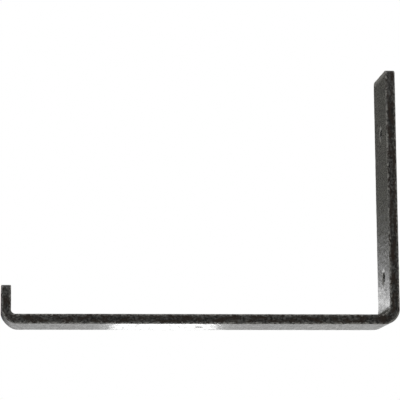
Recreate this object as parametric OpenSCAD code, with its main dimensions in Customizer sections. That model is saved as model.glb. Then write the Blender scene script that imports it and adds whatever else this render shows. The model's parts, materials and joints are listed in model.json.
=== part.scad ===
// Shelf bracket bent from one length of flat steel bar.
// The underside of the arm is Z = 0 and the middle of its width is Y = 0. The wall is on the
// +X side, the front lip on the -X side, and X = 0 is halfway between them.

/* [Bracket] */
// Overall depth, from the outer face of the lip to the wall
depth = 242; // [180:1:320]
// Height of the wall leg, from the underside of the arm
wall_leg_h = 158; // [150:1:220]
// Height of the front lip, from the underside of the arm
lip_h = 23.5; // [22:0.5:45]

/* [Flat bar] */
// Width of the bar
bar_w = 40; // [30:1:60]
// Thickness of the bar
bar_t = 6; // [4:0.5:8]
// Radius of the four long edges and of the edges round both ends
edge_r = 0.8; // [0.4:0.1:1.2]
// Radius of the corners at both ends, seen on the wide face
corner_r = 2.5; // [2.5:0.5:6]

/* [Bends] */
// Inside radius of both bends
bend_r = 3.5; // [2:0.5:6]

/* [Screw holes] */
// Diameter of the two wall screw holes
wall_hole_d = 5.5; // [4:0.5:6.5]
// Diameter of their countersinks at the shelf side of the leg
countersink_d = 11; // [9:0.5:13]
// Height of the lower wall screw above the shelf seat
low_screw_h = 25; // [20:1:40]
// Distance between the two wall screws
screw_spacing = 90; // [40:1:90]
// Diameter of the screw hole in the middle of the arm
arm_hole_d = 5; // [4:0.5:7]

/* [Hidden] */
$fn = 96;
steel_color = [0.15, 0.14, 0.13];
bend_out_r = bend_r + bar_t;          // outside radius of both bends
bend_x = depth / 2 - bend_out_r;      // distance of each bend's centre from X = 0
wall_x = depth / 2;                   // the face that meets the wall
low_screw_z = bar_t + low_screw_h;
past = 1;                             // how far a cutter reaches past a face
countersink_h = (countersink_d - wall_hole_d) / 2;   // depth of a 90 degree countersink

// Rectangle from the origin with its corners rounded where x is at its far end.
module nose_profile(length, height) {
    square([length - edge_r, height]);
    translate([0, edge_r]) square([length, height - 2 * edge_r]);
    for (y = [edge_r, height - edge_r]) translate([length - edge_r, y]) circle(edge_r);
}

// Cross-section of the bar: width along x, thickness along y from 0.
module bar_section() {
    nose_profile(bar_w / 2, bar_t);
    mirror([1, 0]) nose_profile(bar_w / 2, bar_t);
}

// Straight stretch of bar along +X, lying on Z = 0.
module straight(length) {
    rotate([90, 0, 90]) linear_extrude(length) bar_section();
}

// Quarter turn of bar about the Y axis, from the -Z side to the +X side.
module bend() {
    rotate([-90, 0, 0]) rotate_extrude(angle = 90)
        translate([bend_out_r, 0]) rotate(90) bar_section();
}

// Last corner_r of the bar along +X, with both corners rounded and every edge eased.
module bar_end() {
    corner_y = bar_w / 2 - corner_r;
    rotate([90, 0, 0]) linear_extrude(2 * corner_y, center = true)
        nose_profile(corner_r, bar_t);
    translate([0, corner_y, 0]) rotate_extrude(angle = 90) nose_profile(corner_r, bar_t);
    translate([0, -corner_y, 0]) rotate([0, 0, -90])
        rotate_extrude(angle = 90) nose_profile(corner_r, bar_t);
}

// Upright leg on the +X side that ends at the given height, with the bend below it.
module leg(height) {
    run = height - bend_out_r - corner_r;
    translate([bend_x, 0, bend_out_r]) bend();
    translate([wall_x, 0, bend_out_r]) rotate([0, -90, 0]) {
        straight(run);
        translate([run, 0, 0]) bar_end();
    }
}

// Wall screw hole along X, countersunk on the shelf side of the leg.
module wall_screw_hole(z) {
    translate([wall_x - bar_t, 0, z]) rotate([0, 90, 0]) {
        translate([0, 0, -past]) cylinder(d = wall_hole_d, h = bar_t + 2 * past);
        translate([0, 0, -past])
            cylinder(d1 = countersink_d + 2 * past, d2 = wall_hole_d, h = countersink_h + past);
    }
}

// Plain screw hole up through the arm.
module arm_screw_hole() {
    translate([0, 0, -past]) cylinder(d = arm_hole_d, h = bar_t + 2 * past);
}

module bracket() {
    color(steel_color) difference() {
        union() {
            translate([-bend_x, 0, 0]) straight(2 * bend_x);
            leg(wall_leg_h);
            mirror([1, 0, 0]) leg(lip_h);
        }
        for (i = [0, 1]) wall_screw_hole(low_screw_z + i * screw_spacing);
        arm_screw_hole();
    }
}

bracket();
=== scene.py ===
"""Looks of the lipped shelf bracket: a peened, black-waxed steel bar in a plain studio."""

import json
import math

import bpy
import numpy as np
from mathutils import Matrix, Vector, noise

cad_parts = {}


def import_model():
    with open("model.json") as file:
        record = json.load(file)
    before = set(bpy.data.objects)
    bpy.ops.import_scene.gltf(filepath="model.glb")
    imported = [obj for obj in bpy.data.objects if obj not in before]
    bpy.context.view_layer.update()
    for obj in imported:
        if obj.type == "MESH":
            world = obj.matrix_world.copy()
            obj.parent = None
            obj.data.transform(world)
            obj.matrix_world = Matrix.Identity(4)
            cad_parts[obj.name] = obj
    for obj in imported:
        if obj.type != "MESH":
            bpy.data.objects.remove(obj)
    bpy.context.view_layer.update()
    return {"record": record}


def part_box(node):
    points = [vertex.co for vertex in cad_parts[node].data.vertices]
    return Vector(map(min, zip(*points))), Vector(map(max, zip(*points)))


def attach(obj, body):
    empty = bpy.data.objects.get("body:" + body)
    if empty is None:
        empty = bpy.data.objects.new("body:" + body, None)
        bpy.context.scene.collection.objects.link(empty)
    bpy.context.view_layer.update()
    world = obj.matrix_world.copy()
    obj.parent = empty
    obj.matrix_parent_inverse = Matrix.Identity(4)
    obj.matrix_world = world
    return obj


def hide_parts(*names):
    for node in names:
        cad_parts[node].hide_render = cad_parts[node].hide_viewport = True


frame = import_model()

MM = 0.001
SEED = 11                             # of the dents

# ------------------------------------------------------------------- sizes of the bar
LOW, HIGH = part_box("bracket")
MOUNTS = {mount["name"]: mount for mount in frame["record"]["mounts"]}
WALL_SCREWS = MOUNTS["wall_screws"]
SHELF_SCREW = MOUNTS["shelf_screw"]
DEPTH = HIGH.x - LOW.x
WALL_LEG_H = HIGH.z - LOW.z
BAR_W = HIGH.y - LOW.y
BAR_T = MOUNTS["shelf_seat"]["pos_m"][2] - LOW.z
LIP_H = 23.5 * MM
EDGE_R = 0.5 * MM                     # before the dents ease the edges further
CORNER_R = 2.5 * MM
BEND_R = 3.5 * MM
COUNTERSINK_R = 5.5 * MM

BEND_OUT_R = BEND_R + BAR_T
BEND_MID_R = BEND_R + BAR_T / 2
BEND_X = DEPTH / 2 - BEND_OUT_R       # each bend's centre, from the middle of the arm
HALF_W = BAR_W / 2

# Where each stretch of the bar ends, measured along it from the tip of the lip.
LIP_END = LIP_H - BEND_OUT_R
ARM_START = LIP_END + BEND_MID_R * math.pi / 2
ARM_END = ARM_START + 2 * BEND_X
WALL_START = ARM_END + BEND_MID_R * math.pi / 2
BAR_END = WALL_START + WALL_LEG_H - BEND_OUT_R

# ------------------------------------------------------------------------ mesh density
STEP_ALONG = 0.55 * MM
STEP_THICK = 0.55 * MM
STEP_ACROSS = 1.5 * MM
EASE_STEPS = 3                        # quads round each eased edge
CORNER_STEPS = 4                      # quads from the eased edge to the end of the corner
HOLE_RINGS = 6                        # rings of quads round each hole
HOLE_PATCH = 8.2 * MM                 # half the side of the square that holds them
WALL_STEPS = 12                       # quads down a plain hole, and down a countersink


def grid_lines(total, near, step):
    """Places from 0 to total: the near ones by both ends, then even steps between them."""
    count = round((total - 2 * near[-1]) / step)
    middle = np.linspace(near[-1], total - near[-1], count + 1)
    return np.concatenate([near[:-1], middle, total - near[-2::-1]])


EASED = np.linspace(0, EDGE_R, EASE_STEPS + 1)
CORNER = np.concatenate([EASED, np.linspace(EDGE_R, CORNER_R, CORNER_STEPS + 1)[1:]])
ALONG = grid_lines(BAR_END, CORNER, STEP_ALONG)
ACROSS = grid_lines(BAR_W, CORNER, STEP_ACROSS) - HALF_W
THICK = grid_lines(BAR_T, EASED, STEP_THICK)


class FlatBar:
    """The bar before it is bent: points as (along, across, up from the outer face), and quads."""

    def __init__(self):
        self.points = []
        self.faces = []
        self.on_grid = {}

    def add(self, along, across, up):
        self.points.append((along, across, up))
        return len(self.points) - 1

    def at(self, i, j, k):
        """The vertex where grid lines i, j and k meet."""
        if (i, j, k) not in self.on_grid:
            self.on_grid[i, j, k] = self.add(ALONG[i], ACROSS[j], THICK[k])
        return self.on_grid[i, j, k]

    def quad(self, *corners):
        """A face between four places on the grid."""
        self.faces.append(tuple(self.at(*corner) for corner in corners))

    def hole(self, place, wall):
        """A hole through the bar. Its wall is (radius, height) from the inner face to the outer
        one. Returns the grid square that its rings of quads fill."""
        rows = np.flatnonzero(np.abs(ALONG - place) <= HOLE_PATCH)
        columns = np.flatnonzero(np.abs(ACROSS) <= HOLE_PATCH)
        i0, i1, j0, j1 = int(rows[0]), int(rows[-1]), int(columns[0]), int(columns[-1])
        border = [(i, j0) for i in range(i0, i1)] + [(i1, j) for j in range(j0, j1)]
        border += [(i, j1) for i in range(i1, i0, -1)] + [(i0, j) for j in range(j1, j0, -1)]
        turns = [math.atan2(ACROSS[j], ALONG[i] - place) for i, j in border]

        def circle(radius, height):
            return [
                self.add(place + radius * math.cos(t), radius * math.sin(t), height) for t in turns
            ]

        def patch(k, radius):
            """Rings from the square's border to just outside the hole's rim, on one wide face."""
            rings = [[self.at(i, j, k) for i, j in border]]
            for ring in range(1, HOLE_RINGS):
                share = ring / HOLE_RINGS
                points = []
                for (i, j), t in zip(border, turns):
                    along = ALONG[i] + (place + radius * math.cos(t) - ALONG[i]) * share
                    across = ACROSS[j] + (radius * math.sin(t) - ACROSS[j]) * share
                    points.append(self.add(along, across, THICK[k]))
                rings.append(points)
            return rings

        rings = patch(len(THICK) - 1, wall[0][0])
        rings += [circle(*step) for step in wall]
        rings += patch(0, wall[-1][0])[::-1]
        for first, second in zip(rings, rings[1:]):
            for a, b, c, d in zip(first, first[1:] + first[:1], second[1:] + second[:1], second):
                self.faces.append((a, b, c, d))
        return i0, i1, j0, j1

    def skin(self, squares):
        """The outside of the bar, apart from the grid squares that the holes fill."""
        last_i, last_j, last_k = len(ALONG) - 1, len(ACROSS) - 1, len(THICK) - 1
        for i in range(last_i):
            for j in range(last_j):
                if any(i0 <= i < i1 and j0 <= j < j1 for i0, i1, j0, j1 in squares):
                    continue
                for k, p, q in ((last_k, 1, 0), (0, 0, 1)):
                    self.quad((i, j, k), (i + p, j + q, k), (i + 1, j + 1, k), (i + q, j + p, k))
            for k in range(last_k):
                for j, p, q in ((0, 1, 0), (last_j, 0, 1)):
                    self.quad((i, j, k), (i + p, j, k + q), (i + 1, j, k + 1), (i + q, j, k + p))
        for j in range(last_j):
            for k in range(last_k):
                for i, p, q in ((last_i, 1, 0), (0, 0, 1)):
                    self.quad((i, j, k), (i, j + p, k + q), (i, j + 1, k + 1), (i, j + q, k + p))


TINY = 1e-12                          # keeps a division away from zero


def ease_edges(points):
    """Moves points of a sharp-edged bar onto one with rounded end corners and eased edges.
    Gives them and the directions straight out of its surface."""
    lowest = [CORNER_R, CORNER_R - HALF_W, EDGE_R]
    highest = [BAR_END - CORNER_R, HALF_W - CORNER_R, BAR_T - EDGE_R]
    core = np.clip(points, lowest, highest)
    flat = points[:, :2] - core[:, :2]
    reach = np.maximum(np.linalg.norm(flat, axis=1), TINY)
    core[:, :2] += flat * np.minimum(1, (CORNER_R - EDGE_R) / reach)[:, None]
    out = points - core
    out /= np.linalg.norm(out, axis=1)[:, None]
    return core + EDGE_R * out, out


# ------------------------------------------------------------------- forged surface
DENT_BALL = (2.5 * MM, 6 * MM)        # radius of the hammer's round face
EDGE_DENT_GAP = (1.4 * MM, 3.6 * MM)  # between the dents along each long edge
EDGE_DENT_DEPTH = (0.02 * MM, 0.2 * MM)
EDGE_DENT_TILT = (10, 45)             # degrees from the narrow face towards the wide one
FACE_DENT_GAP = (1.2 * MM, 3.2 * MM)  # between the dents along each narrow face
FACE_DENT_DEPTH = (0.04 * MM, 0.16 * MM)

NARROW_RELIEF = 0.16 * MM             # height of the rough forged skin on the narrow faces
NARROW_BUMP = 2.3 * MM                # size of its bumps
NARROW_REACH = 2.5 * MM               # how far it runs round onto the wide faces
WIDE_RELIEF = 0.10 * MM               # height of the slow waves in the wide faces
WIDE_BUMP = (22 * MM, 8 * MM)         # their size along the bar and across it


def dents():
    """Balls that dent the bar: (centre, radius), along the long edges and the narrow faces."""
    draw = np.random.default_rng(SEED)
    balls = []
    for side in (-1, 1):
        for rise in (-1, 1):
            edge = np.array([0, side * (HALF_W - EDGE_R), BAR_T / 2 + rise * (BAR_T / 2 - EDGE_R)])
            along = 0.0
            while along < BAR_END:
                radius = draw.uniform(*DENT_BALL)
                tilt = math.radians(draw.uniform(*EDGE_DENT_TILT))
                lift = radius - draw.uniform(*EDGE_DENT_DEPTH)
                out = np.array([0, side * math.cos(tilt), rise * math.sin(tilt)])
                balls.append((edge + [along, 0, 0] + out * (lift + EDGE_R), radius))
                along += draw.uniform(*EDGE_DENT_GAP)
        along = 0.0
        while along < BAR_END:
            radius = draw.uniform(*DENT_BALL)
            height = draw.uniform(0, BAR_T)
            lift = radius - draw.uniform(*FACE_DENT_DEPTH)
            balls.append((np.array([along, side * (HALF_W + lift), height]), radius))
            along += draw.uniform(*FACE_DENT_GAP)
    return balls


def roughen(points, out):
    """Points moved in and out a little, by a rough skin on the narrow faces and slow waves on
    the wide ones."""
    side = np.clip(1 - (HALF_W - np.abs(points[:, 1])) / NARROW_REACH, 0, 1)
    rough = [noise.noise(place / NARROW_BUMP) for place in map(Vector, points)]
    waves = [
        noise.noise(Vector((along / WIDE_BUMP[0], across / WIDE_BUMP[1], up / BAR_T)))
        for along, across, up in points
    ]
    depth = NARROW_RELIEF * side * np.array(rough) / 2
    depth += WIDE_RELIEF * (1 - side) * np.array(waves) / 2
    return points - out * depth[:, None]


def peen(points):
    """Pushes each point that lies inside a ball out to the ball's surface, into the bar."""
    order = np.argsort(points[:, 0], kind="stable")
    places = points[order, 0]
    moved = points[order]
    for centre, radius in dents():
        first, last = np.searchsorted(places, [centre[0] - radius, centre[0] + radius])
        near = moved[first:last]
        away = near - centre
        reach = np.linalg.norm(away, axis=1)
        inside = reach < radius
        near[inside] += away[inside] * (radius / reach[inside] - 1)[:, None]
    result = np.empty_like(points)
    result[order] = moved
    return result


# ------------------------------------------------------------------------ bends and holes
LIP_PINCH_OUT = 0.5 * MM              # how much the lip's bend thins the bar, from its outer face
LIP_PINCH_SKEW = 1.4                  # how uneven that is: 2 leaves the near edge as it is
LIP_PINCH_IN = 0.35 * MM              # how much it thins the bar from its inner face
LIP_PINCH_SPREAD = 1.2                # how far round the bend it runs: less is further
FOOT_SWELL = 1.2 * MM                 # how much metal fills the inside of the bend at the wall
FOOT_SWELL_REACH = 8.5 * MM           # how far that runs from the middle of the bend

DISH_FALL = 0.12                      # slope of the outer part of each countersink
DISH_POWER = 12                       # how suddenly it turns down into the hole
DISH_CROWD = 2.4                      # how much its rings of quads crowd towards the hole


def bend(points):
    """Points of the flat bar, bent up into the lip and the wall leg. The arm lies on Z = 0."""
    along, across, up = points.T
    lip_turn = np.clip((ARM_START - along) / BEND_MID_R, 0, math.pi / 2)
    wall_turn = np.clip((along - ARM_END) / BEND_MID_R, 0, math.pi / 2)
    inner = up / BAR_T
    outer_pinch = LIP_PINCH_OUT * (1 + LIP_PINCH_SKEW * across / BAR_W)
    pinch = (1 - inner) * outer_pinch - inner * LIP_PINCH_IN
    pinch *= np.abs(np.sin(2 * lip_turn)) ** LIP_PINCH_SPREAD
    from_foot = np.abs(along - (ARM_END + WALL_START) / 2) / FOOT_SWELL_REACH
    swell = inner * FOOT_SWELL * np.cos(np.clip(from_foot, 0, 1) * math.pi / 2) ** 2
    reach = BEND_OUT_R - up - swell - pinch
    arm = np.clip(along, ARM_START, ARM_END) - ARM_START - BEND_X
    upright = np.clip(LIP_END - along, 0, None) + np.clip(along - WALL_START, 0, None)
    x = arm + reach * (np.sin(wall_turn) - np.sin(lip_turn))
    z = BEND_OUT_R - reach * np.cos(lip_turn) * np.cos(wall_turn) + upright
    return np.column_stack([x, across, z])


def hole_walls():
    """(place along the bar, wall) of each hole. A wall is (radius, height) from the inner face
    to the outer one."""
    screw_r = WALL_SCREWS["dims"]["hole_r_mm"] * MM
    spacing = WALL_SCREWS["dims"]["spacing_y_mm"] * MM
    cone = COUNTERSINK_R - screw_r
    countersunk = []
    for i in range(WALL_STEPS + 1):
        share = 1 - (1 - i / WALL_STEPS) ** DISH_CROWD
        fall = DISH_FALL * share + (1 - DISH_FALL) * share ** DISH_POWER
        countersunk.append((COUNTERSINK_R - cone * share, BAR_T - cone * fall))
    for i in range(1, WALL_STEPS + 1):
        countersunk.append((screw_r, (BAR_T - cone) * (1 - i / WALL_STEPS)))
    plain_r = SHELF_SCREW["dims"]["r_mm"] * MM
    plain = [(plain_r, BAR_T * (1 - i / WALL_STEPS)) for i in range(WALL_STEPS + 1)]
    middle = WALL_SCREWS["pos_m"][2] - BEND_OUT_R + WALL_START
    return [
        (middle - spacing / 2, countersunk),
        (middle + spacing / 2, countersunk),
        (ARM_START + BEND_X, plain),
    ]


def bracket_mesh():
    """The bent, peened bar as a mesh. It keeps its flat coordinates in mm for the material."""
    bar = FlatBar()
    squares = [bar.hole(*hole) for hole in hole_walls()]
    bar.skin(squares)
    flat = np.array(bar.points)
    on_grid = np.array(sorted(bar.on_grid.values()))
    flat[on_grid], out = ease_edges(flat[on_grid])
    worked = flat.copy()
    worked[on_grid] = roughen(flat[on_grid], out)
    mesh = bpy.data.meshes.new("bracket_bar")
    mesh.from_pydata(bend(peen(worked)), [], bar.faces)
    kept = mesh.attributes.new("flat_mm", "FLOAT_VECTOR", "POINT")
    kept.data.foreach_set("vector", (flat / MM).astype(np.float32).ravel())
    mesh.shade_smooth()
    mesh.validate()
    return mesh


# --------------------------------------------------------------------------- materials
# Numbers of a Mix node's sockets for colours. It has other sockets of the same names.
MIX_SHARE = 0
MIX_FIRST = 6
MIX_SECOND = 7
MIX_COLOUR = 2                        # among its outputs


class Nodes:
    """Adds nodes to a material or world, and links them."""

    def __init__(self, tree):
        self.tree = tree
        tree.nodes.clear()

    def add(self, kind, **inputs):
        """A node of that kind. Each input is a value, or the output of another node."""
        node = self.tree.nodes.new(kind)
        for name, value in inputs.items():
            self.put(node, name.replace("_", " "), value)
        return node

    def put(self, node, name, value):
        """Sets an input of a node, or links it to the output of another node."""
        socket = node.inputs[name]
        if isinstance(value, bpy.types.NodeSocket):
            self.tree.links.new(value, socket)
        else:
            socket.default_value = value

    def math(self, operation, *values):
        node = self.tree.nodes.new("ShaderNodeMath")
        node.operation = operation
        for i, value in enumerate(values):
            self.put(node, i, value)
        return node.outputs[0]

    def plus(self, *values):
        total = values[0]
        for value in values[1:]:
            total = self.math("ADD", total, value)
        return total

    def minus(self, first, second):
        return self.math("SUBTRACT", first, second)

    def times(self, first, second):
        return self.math("MULTIPLY", first, second)

    def pattern(self, where, per_mm, detail, roughness):
        """Noise from 0 to 1, of so many bumps for each mm along, across and through the bar."""
        stretched = self.add("ShaderNodeMapping", Vector=where, Scale=per_mm).outputs["Vector"]
        made = self.add("ShaderNodeTexNoise", Vector=stretched, Scale=1.0)
        self.put(made, "Detail", detail)
        self.put(made, "Roughness", roughness)
        return made.outputs["Fac"]

    def ramp(self, value, limits):
        """0 at the first limit, 1 at the second, and smooth between."""
        node = self.add("ShaderNodeMapRange", Value=value)
        node.interpolation_type = "SMOOTHSTEP"
        self.put(node, "From Min", limits[0])
        self.put(node, "From Max", limits[1])
        return node.outputs["Result"]

    def mix(self, share, first, second):
        """The first colour where share is 0, and the second where it is 1."""
        node = self.tree.nodes.new("ShaderNodeMix")
        node.data_type = "RGBA"
        self.put(node, MIX_SHARE, share)
        self.put(node, MIX_FIRST, first)
        self.put(node, MIX_SECOND, second)
        return node.outputs[MIX_COLOUR]


BLACK_WAX = (0.004, 0.0038, 0.0035, 1)
DARK_STEEL = (0.05, 0.049, 0.046, 1)  # through thin wax
BROWN_WAX = (0.0115, 0.0077, 0.0056, 1)
# Bare steel in the flecks; by the edges and the rims the flecks are also painted highlights.
BARE_STEEL_AND_GLINT = (0.13, 0.127, 0.118, 1)
WAX_IOR = 1.3
FLECK_AND_GLINT_METALLIC = 0.2                   # how metallic the bare flecks and painted highlights are

# Noise: (bumps for each mm along, across and through the bar), detail, roughness.
CHIPS = ((0.5, 0.8, 0.8), 3.0, 0.65)
MOTTLE = ((0.6, 0.75, 0.75), 3.0, 0.7)
SLOW_MOTTLE = ((0.05, 0.12, 0.12), 3.0, 0.7)
PATCHES = ((0.14, 0.4, 0.4), 2.0, 0.5)
STREAKS = ((0.09, 0.8, 0.8), 3.0, 0.6)
BLOTCHES = ((0.45, 0.09, 0.09), 3.0, 0.6)
PEEL = ((0.16, 0.5, 0.5), 2.0, 0.5)
GRAIN = ((0.9, 0.9, 0.9), 3.0, 0.6)
RIPPLE = ((0.25, 0.1, 0.1), 2.0, 0.5)

# Where things start and where they are full, in mm.
NARROW_FROM_SIDE = (1.8, 0.4)         # the look of the narrow faces
WORN_AND_GLINT_FROM_ARRIS = (1.9, 0.5)          # bare flecks along the edges: worn steel, and a painted highlight where the edge facets catch light
THIN_FROM_ARRIS = (3.0, 0.0)          # thinner wax along the edges
WORN_FROM_END = (4.6, 2.0)            # worn wide faces by both ends
RIM_FROM_ABOVE = (0.0, 0.1)           # a hole's rim of bare flecks, worn steel and a painted highlight on the countersink, as depth below the inner face
RIM_FROM_BELOW = (0.7, 0.35)
RIM_FROM_EDGES = (4.0, 6.0)           # only in the holes, so away from the bar's own edges

# The noise levels at which things start and are full.
FLECK_AND_GLINT_LEVELS = (0.64, 0.78)
THIN_WAX_LEVELS = (0.42, 0.68)
PATCH_LEVELS = (0.42, 0.62)

# How much each thing adds to a noise level.
EDGE_WEAR_AND_GLINT = 0.2
END_WEAR = 0.3
RIM_WEAR_AND_GLINT = 0.3
EDGE_THINNING = 0.1
SLOW_THINNING = 0.3

WIDE_THIN_SHARE = 0.25                # how much of the thin wax shows on the wide faces
WIDE_ROUGHNESS = 0.215
STREAK_ROUGHNESS = 0.12
NARROW_ROUGHNESS = 0.08               # more on the narrow faces
BLOTCH_ROUGHNESS = 0.4

# Bump heights in mm.
WIDE_GRAIN_H = 0.02
NARROW_GRAIN_H = 0.14                 # more on the narrow faces
STREAK_H = 0.05
PEEL_H = 0.12
RIPPLE_H = 0.25


class BarPlaces:
    """Outputs that say where a point was on the flat bar, in mm."""

    def __init__(self, nodes):
        source = nodes.add("ShaderNodeAttribute")
        source.attribute_name = "flat_mm"
        self.flat = source.outputs["Vector"]
        along, across, up = nodes.add("ShaderNodeSeparateXYZ", Vector=self.flat).outputs

        def inside(value, total):
            """How far a place is from the nearer of 0 and total."""
            return nodes.math("MINIMUM", value, nodes.minus(total / MM, value))

        self.below_inner = nodes.minus(BAR_T / MM, up)
        self.from_side = nodes.minus(HALF_W / MM, nodes.math("ABSOLUTE", across))
        self.from_end = inside(along, BAR_END)
        from_face = inside(up, BAR_T)
        # The two smaller distances together say how far the nearest edge of the bar is.
        most = nodes.math("MAXIMUM", self.from_side, from_face)
        most = nodes.math("MAXIMUM", most, self.from_end)
        total = nodes.plus(self.from_side, from_face, self.from_end)
        self.from_arris = nodes.minus(total, most)
        self.narrow = nodes.ramp(self.from_side, NARROW_FROM_SIDE)


def bare_flecks_and_glints(nodes, bar):
    """1 where the steel is bare, in flecks, most of all by the edges, the ends and the rims. By
    the edges and the rims they are also painted highlights.
    """
    # By the edges the flecks are worn steel and also a painted highlight where the peened edge
    # facets catch light.
    edges = nodes.ramp(bar.from_arris, WORN_AND_GLINT_FROM_ARRIS)
    ends = nodes.times(nodes.ramp(bar.from_end, WORN_FROM_END), nodes.minus(1.0, bar.narrow))
    # Round each hole's rim the flecks are worn steel and also a painted highlight of the
    # countersink's bright flank.
    rims = nodes.times(
        nodes.ramp(bar.below_inner, RIM_FROM_ABOVE), nodes.ramp(bar.below_inner, RIM_FROM_BELOW)
    )
    from_edges = nodes.math("MINIMUM", bar.from_side, bar.from_end)
    rims = nodes.times(rims, nodes.ramp(from_edges, RIM_FROM_EDGES))
    level = nodes.plus(
        nodes.pattern(bar.flat, *CHIPS),
        nodes.times(edges, EDGE_WEAR_AND_GLINT),
        nodes.times(ends, END_WEAR),
        nodes.times(rims, RIM_WEAR_AND_GLINT),
    )
    return nodes.ramp(level, FLECK_AND_GLINT_LEVELS)


def wax_colour(nodes, bar):
    """Black wax that is thin in places and brown in patches, both mostly on the narrow faces."""
    slow = nodes.times(nodes.minus(nodes.pattern(bar.flat, *SLOW_MOTTLE), 0.5), bar.narrow)
    level = nodes.plus(
        nodes.pattern(bar.flat, *MOTTLE),
        nodes.times(nodes.ramp(bar.from_arris, THIN_FROM_ARRIS), EDGE_THINNING),
        nodes.times(slow, SLOW_THINNING),
    )
    shown = nodes.plus(nodes.times(bar.narrow, 1 - WIDE_THIN_SHARE), WIDE_THIN_SHARE)
    thin = nodes.times(nodes.ramp(level, THIN_WAX_LEVELS), shown)
    wax = nodes.mix(thin, BLACK_WAX, DARK_STEEL)
    patches = nodes.ramp(nodes.pattern(bar.flat, *PATCHES), PATCH_LEVELS)
    return nodes.mix(nodes.times(patches, bar.narrow), wax, BROWN_WAX)


def waxed_steel():
    """Black wax over dark steel: satin wide faces, rough narrow ones, and bare flecks, which by
    the edges and the rims are also painted highlights.
    """
    material = bpy.data.materials.new("waxed_steel")
    material.use_nodes = True
    nodes = Nodes(material.node_tree)
    bar = BarPlaces(nodes)
    flecks_and_glints = bare_flecks_and_glints(nodes, bar)
    streaks = nodes.pattern(bar.flat, *STREAKS)

    roughness = nodes.plus(
        nodes.times(streaks, STREAK_ROUGHNESS),
        WIDE_ROUGHNESS,
        nodes.times(bar.narrow, NARROW_ROUGHNESS),
        nodes.times(nodes.minus(nodes.pattern(bar.flat, *BLOTCHES), 0.5), BLOTCH_ROUGHNESS),
    )
    grain_h = nodes.plus(nodes.times(bar.narrow, NARROW_GRAIN_H), WIDE_GRAIN_H)
    height = nodes.plus(
        nodes.times(nodes.pattern(bar.flat, *GRAIN), grain_h),
        nodes.times(streaks, STREAK_H),
        nodes.times(nodes.pattern(bar.flat, *PEEL), PEEL_H),
        nodes.times(nodes.pattern(bar.flat, *RIPPLE), RIPPLE_H),
    )
    bump = nodes.add("ShaderNodeBump", Height=height, Strength=1.0, Distance=MM)

    shader = nodes.add("ShaderNodeBsdfPrincipled", Roughness=roughness)
    nodes.put(shader, "Normal", bump.outputs["Normal"])
    # The lighter flecks are bare steel, and by the edges and the rims also painted highlights.
    nodes.put(shader, "Base Color", nodes.mix(flecks_and_glints, wax_colour(nodes, bar), BARE_STEEL_AND_GLINT))
    nodes.put(shader, "Metallic", nodes.times(flecks_and_glints, FLECK_AND_GLINT_METALLIC))
    nodes.put(shader, "IOR", WAX_IOR)
    nodes.add("ShaderNodeOutputMaterial", Surface=shader.outputs["BSDF"])
    return material


def matt(name, colour):
    """A plain matt material."""
    material = bpy.data.materials.new(name)
    material.use_nodes = True
    nodes = Nodes(material.node_tree)
    shader = nodes.add("ShaderNodeBsdfDiffuse", Color=colour)
    nodes.add("ShaderNodeOutputMaterial", Surface=shader.outputs["BSDF"])
    return material


def bracket():
    mesh = bracket_mesh()
    piece = bpy.data.objects.new("waxed_bar", mesh)
    bpy.context.scene.collection.objects.link(piece)
    mesh.materials.append(waxed_steel())
    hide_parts("bracket")
    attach(piece, "root")


# ------------------------------------------------------------------- studio and camera
CAMERA_AT = (-127.4 * MM, -1275.7 * MM, -119.7 * MM)
CAMERA_YAW = 5.752                    # degrees to the right of +Y
CAMERA_PITCH = 8.794                  # degrees above the horizon
CAMERA_ROLL = -0.462                  # degrees that its right side is turned up
FOCAL_PX = 2100                       # focal length, in pixels of a frame this wide:
FRAME_PX = 400
SENSOR_MM = 36
NEAR_CLIP = 0.05
FAR_CLIP = 100

FLOOR_DROP = 0.30                     # how far the floor is below the arm
FLOOR_REACH = 6.0                     # half its side
FLOOR_COLOUR = (0.92, 0.92, 0.91, 1)
FLAG_GREY = (0.225, 0.222, 0.2, 1)    # colours of the cards that reflections show
FLAG_DARK = (0.06, 0.06, 0.06, 1)
WORLD_LIGHT = 0.75                    # strength of the plain light from all round


def camera():
    """The camera at the photograph's viewing angle."""
    data = bpy.data.cameras.new("camera")
    data.sensor_width = SENSOR_MM
    data.lens = FOCAL_PX * SENSOR_MM / FRAME_PX
    data.clip_start = NEAR_CLIP
    data.clip_end = FAR_CLIP
    yaw, pitch, roll = map(math.radians, (CAMERA_YAW, CAMERA_PITCH, CAMERA_ROLL))
    forward = Vector((
        math.sin(yaw) * math.cos(pitch),
        math.cos(yaw) * math.cos(pitch),
        math.sin(pitch),
    ))
    level = Vector((math.cos(yaw), -math.sin(yaw), 0))
    upright = level.cross(forward)
    right = level * math.cos(roll) + upright * math.sin(roll)
    up = upright * math.cos(roll) - level * math.sin(roll)
    turn = Matrix((right, up, -forward)).transposed()
    holder = bpy.data.objects.new("camera", data)
    holder.matrix_world = Matrix.Translation(CAMERA_AT) @ turn.to_4x4()
    bpy.context.scene.collection.objects.link(holder)
    bpy.context.scene.camera = holder


def sheet(name, corners, colour):
    """A flat matt sheet that is only part of the studio."""
    mesh = bpy.data.meshes.new(name)
    mesh.from_pydata(corners, [], [(0, 1, 2, 3)])
    mesh.materials.append(matt(name, colour))
    made = bpy.data.objects.new(name, mesh)
    bpy.context.scene.collection.objects.link(made)
    return made


def floor():
    r = FLOOR_REACH
    z = LOW.z - FLOOR_DROP
    sheet("floor", [(-r, -r, z), (r, -r, z), (r, r, z), (-r, r, z)], FLOOR_COLOUR)


def flag(name, x_range, z_range, y, colour):
    """An upright card that only reflections show."""
    (x0, x1), (z0, z1) = x_range, z_range
    card = sheet(name, [(x0, y, z0), (x1, y, z0), (x1, y, z1), (x0, y, z1)], colour)
    card.visible_camera = False
    card.visible_diffuse = False
    card.visible_shadow = False


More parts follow.
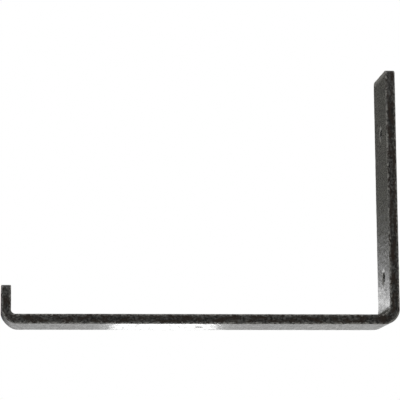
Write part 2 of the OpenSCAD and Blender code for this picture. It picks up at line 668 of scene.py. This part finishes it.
def world():
    """White wherever it is seen, itself or in a reflection, and a plain soft light elsewhere."""
    made = bpy.data.worlds.new("studio")
    made.use_nodes = True
    nodes = Nodes(made.node_tree)
    path = nodes.add("ShaderNodeLightPath").outputs
    seen = nodes.math("MAXIMUM", path["Is Camera Ray"], path["Is Glossy Ray"])
    seen = nodes.math("MAXIMUM", seen, path["Is Transmission Ray"])
    strength = nodes.add("ShaderNodeMapRange", Value=seen)
    nodes.put(strength, "To Min", WORLD_LIGHT)
    nodes.put(strength, "To Max", 1.0)
    strength = strength.outputs["Result"]
    background = nodes.add("ShaderNodeBackground", Color=(1, 1, 1, 1), Strength=strength)
    nodes.add("ShaderNodeOutputWorld", Surface=background.outputs["Background"])
    bpy.context.scene.world = made


def lamp(name, at, target, width, height, watts):
    """A soft rectangular lamp. Only its light and its reflections are seen."""
    light = bpy.data.lights.new(name, "AREA")
    light.shape = "RECTANGLE"
    light.size = width
    light.size_y = height
    light.energy = watts
    holder = bpy.data.objects.new(name, light)
    holder.location = at
    holder.rotation_euler = (Vector(target) - Vector(at)).to_track_quat("-Z", "Y").to_euler()
    holder.visible_camera = False
    bpy.context.scene.collection.objects.link(holder)


def low_lamp(name, x_range, z_range, y, radiance):
    """An upright lamp low behind the bracket, facing the camera's side. A full reflection of it
    is as bright as its radiance, where 1 is white."""
    width, height = x_range[1] - x_range[0], z_range[1] - z_range[0]
    at = Vector((sum(x_range) / 2, y, sum(z_range) / 2))
    lamp(name, at, at - Vector((0, 1, 0)), width, height, radiance * math.pi * width * height)


camera()
floor()
world()
lamp("key_light", at=(-0.7, -1.2, 1.7), target=(0, 0, 0.05), width=0.9, height=0.9, watts=24)
lamp("back_light", at=(1.6, 1.8, 1.4), target=(1.0, 1.5, 0.0), width=1.4, height=0.9, watts=22)

# Cards whose reflections darken the upper part of the wall leg, the inside of its bend,
# the outside of the lip's bend, and the narrow faces.
flag("back_flag", x_range=(-1.6, 0.7), z_range=(0.24, 1.6), y=1.5, colour=FLAG_GREY)
flag("foot_flag", x_range=(0.1, 0.8), z_range=(0.08, 0.6), y=1.45, colour=FLAG_DARK)
flag("lip_flag", x_range=(-0.28, -0.13), z_range=(-0.015, 0.07), y=0.3, colour=FLAG_DARK)
flag("front_flag", x_range=(-1.3, 1.9), z_range=(-0.3, 1.5), y=-2.5, colour=FLAG_GREY)

# Lamps that are reflected in the foot of the wall leg and in the underside of the arm.
low_lamp("wall_glow", x_range=(-0.03, 0.10), z_range=(0.0, 0.058), y=0.3, radiance=1.5)
low_lamp("arm_glow", x_range=(-0.036, 0.0425), z_range=(-0.10, -0.005), y=0.3, radiance=3.0)
bracket()

bpy.context.scene.view_settings.view_transform = "Standard"
